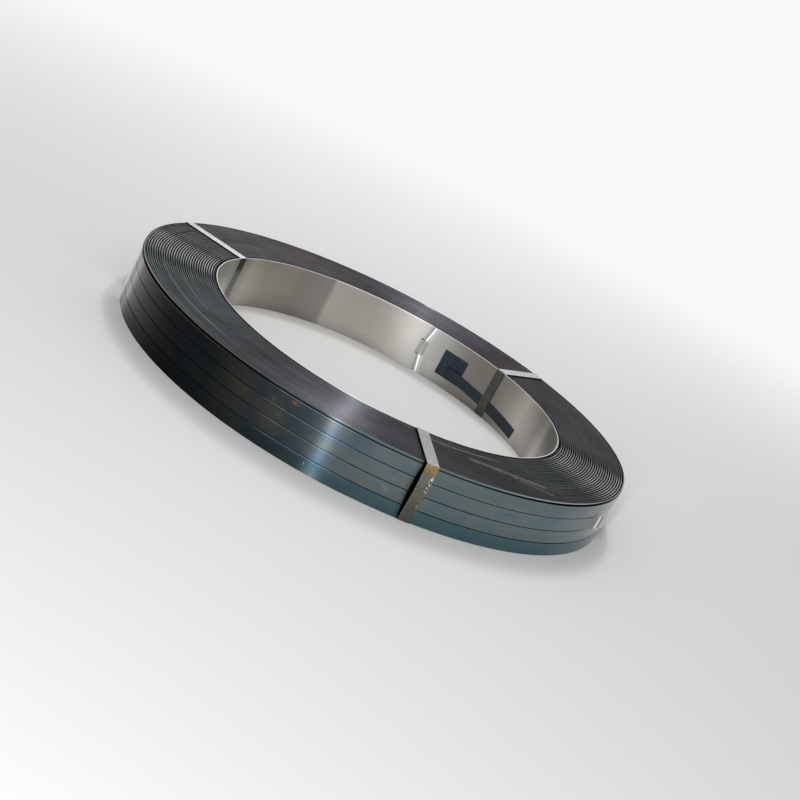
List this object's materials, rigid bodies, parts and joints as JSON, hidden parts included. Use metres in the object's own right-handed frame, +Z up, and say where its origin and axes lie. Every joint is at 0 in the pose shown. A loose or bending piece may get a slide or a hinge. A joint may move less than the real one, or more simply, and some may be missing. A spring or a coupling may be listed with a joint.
{
  "type": "steel strapping coil",
  "caption": "Coil of blued steel strapping wound on a sheet steel core and held by tie bands, for a strapping dispenser.",
  "frame": {"origin": "centre of the coil on the floor that its tie bands rest on", "axes": "+Z up along the coil's axis; -Y towards the front tie band; +X to the right seen from the front"},
  "size_m": [0.57, 0.57, 0.0608],
  "materials": {
    "blued_strap": "blued and waxed steel",
    "core_sheet": "bright rolled sheet",
    "band_bright": "zinc coated",
    "band_tarnished": "dull, tarnished"
  },
  "bodies": {
    "root": {"strap_coil": "blued_strap", "core_liner": "core_sheet", "tie_band_left": "band_bright", "tie_band_rear": "band_bright", "tie_band_front": "band_tarnished"}
  },
  "joints": []
}
